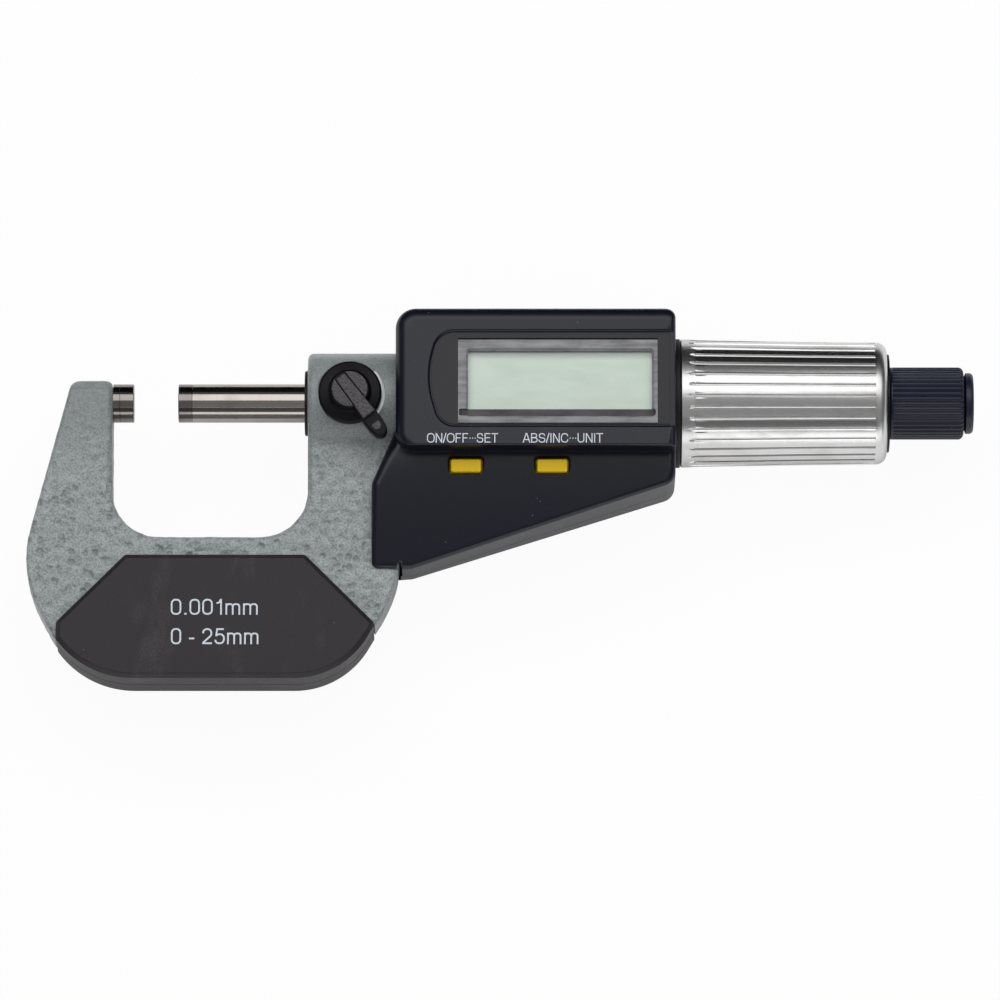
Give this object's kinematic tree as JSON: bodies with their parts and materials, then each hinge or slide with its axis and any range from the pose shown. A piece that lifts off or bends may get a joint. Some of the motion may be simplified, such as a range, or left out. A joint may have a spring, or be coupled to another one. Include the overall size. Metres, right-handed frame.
{
  "type": "digital outside micrometer",
  "caption": "Digital outside micrometer with a U-shaped frame, insulating grips, display housing, knurled thimble, ratchet knob and spindle lock lever.",
  "frame": {"origin": "centre of the anvil's measuring face, on the spindle's axis", "axes": "+X along the spindle from the anvil towards the thimble, +Y from the grips towards the spindle, +Z out of the display"},
  "size_m": [0.1596, 0.062, 0.0245],
  "materials": {
    "frame_paint": "hammered grey enamel, semi-gloss",
    "ground_steel": "ground and lapped steel",
    "carbide": "lapped carbide",
    "satin_chrome": "satin chrome",
    "housing_plastic": "fine-grained dark navy plastic",
    "knob_plastic": "dark moulded plastic",
    "grip_plastic": "dark grey moulded insulating plastic",
    "black_rubber": "soft black rubber",
    "film_print": "printed label film",
    "clear_plastic": "clear moulded window",
    "display_glass": "pale green reflective display",
    "holder_plastic": "pale grey translucent plastic",
    "button_plastic": "yellow moulded plastic",
    "board_laminate": "green circuit laminate",
    "chip_resin": "black resin",
    "brass": "machined brass",
    "inner_steel": "turned steel",
    "screw_steel": "blackened steel screws",
    "cell_steel": "nickelled steel can"
  },
  "bodies": {
    "frame_and_housing": {"frame": "frame_paint", "anvil": "ground_steel", "anvil_tip": "carbide", "wiper_ring": "black_rubber", "grip_front": "grip_plastic", "grip_rear": "grip_plastic", "grip_screws": "screw_steel", "sleeve": "inner_steel", "thread_nut": "brass", "rear_bush": "brass", "adjusting_nut": "inner_steel", "thimble_clip": "inner_steel", "stator_carrier": "knob_plastic", "encoder_stator": "board_laminate", "thimble_ring": "black_rubber", "lock_shoe": "brass", "housing_front": "housing_plastic", "housing_rear": "housing_plastic", "housing_screws": "screw_steel", "display_film": "film_print", "display_window": "clear_plastic", "lcd_glass": "display_glass", "lcd_holder": "holder_plastic", "lcd_strip": "black_rubber", "circuit_board": "board_laminate", "measuring_chip": "chip_resin", "button_pad": "black_rubber", "key_board": "board_laminate", "battery": "cell_steel", "battery_seal": "black_rubber", "contact_minus": "brass", "contact_plus": "brass"},
    "thimble_drive": {"thimble": "satin_chrome", "thimble_core": "inner_steel", "spindle_key": "inner_steel", "encoder_rotor": "board_laminate", "ratchet_plate": "inner_steel", "ratchet_spring": "inner_steel", "ratchet_screw": "inner_steel"},
    "spindle_line": {"spindle": "ground_steel", "spindle_tip": "carbide"},
    "ratchet_head": {"ratchet_knob": "knob_plastic", "ratchet_cap": "knob_plastic"},
    "spindle_lock": {"lock_knob": "knob_plastic", "lock_cap": "knob_plastic", "lock_stud": "inner_steel"},
    "on_off_key": {"button_on_off": "button_plastic"},
    "unit_key": {"button_unit": "button_plastic"},
    "cell_cover": {"battery_cover": "knob_plastic"}
  },
  "joints": [
    {"name": "thimble_turn", "type": "hinge", "parent": "frame_and_housing", "child": "thimble_drive", "pos_m": [0.1, 0, 0], "axis": [1, 0, 0], "range_deg": [-5400, 12600]},
    {"name": "spindle_travel", "type": "slide", "parent": "thimble_drive", "child": "spindle_line", "axis": [1, 0, 0], "range_m": [-0.0075, 0.0175]},
    {"name": "ratchet_slip", "type": "hinge", "parent": "thimble_drive", "child": "ratchet_head", "pos_m": [0.134, 0, 0], "axis": [1, 0, 0], "continuous": true},
    {"name": "lock_turn", "type": "hinge", "parent": "frame_and_housing", "child": "spindle_lock", "pos_m": [0.03655, 0, 0.008], "axis": [0, 0, 1], "range_deg": [-60, 0]},
    {"name": "on_off_press", "type": "slide", "parent": "frame_and_housing", "child": "on_off_key", "axis": [0, 0, 1], "range_m": [-0.0004, 0], "stiffness_N_per_m": 1200},
    {"name": "unit_press", "type": "slide", "parent": "frame_and_housing", "child": "unit_key", "axis": [0, 0, 1], "range_m": [-0.0004, 0], "stiffness_N_per_m": 1200},
    {"name": "cover_turn", "type": "hinge", "parent": "frame_and_housing", "child": "cell_cover", "pos_m": [0.0545, -0.0156, -0.0065], "axis": [0, 0, 1], "range_deg": [-60, 0]}
  ],
  "couplings": [
    {"joint": "spindle_travel", "follows": "thimble_turn", "m_per_rad": 0.000079577}
  ]
}
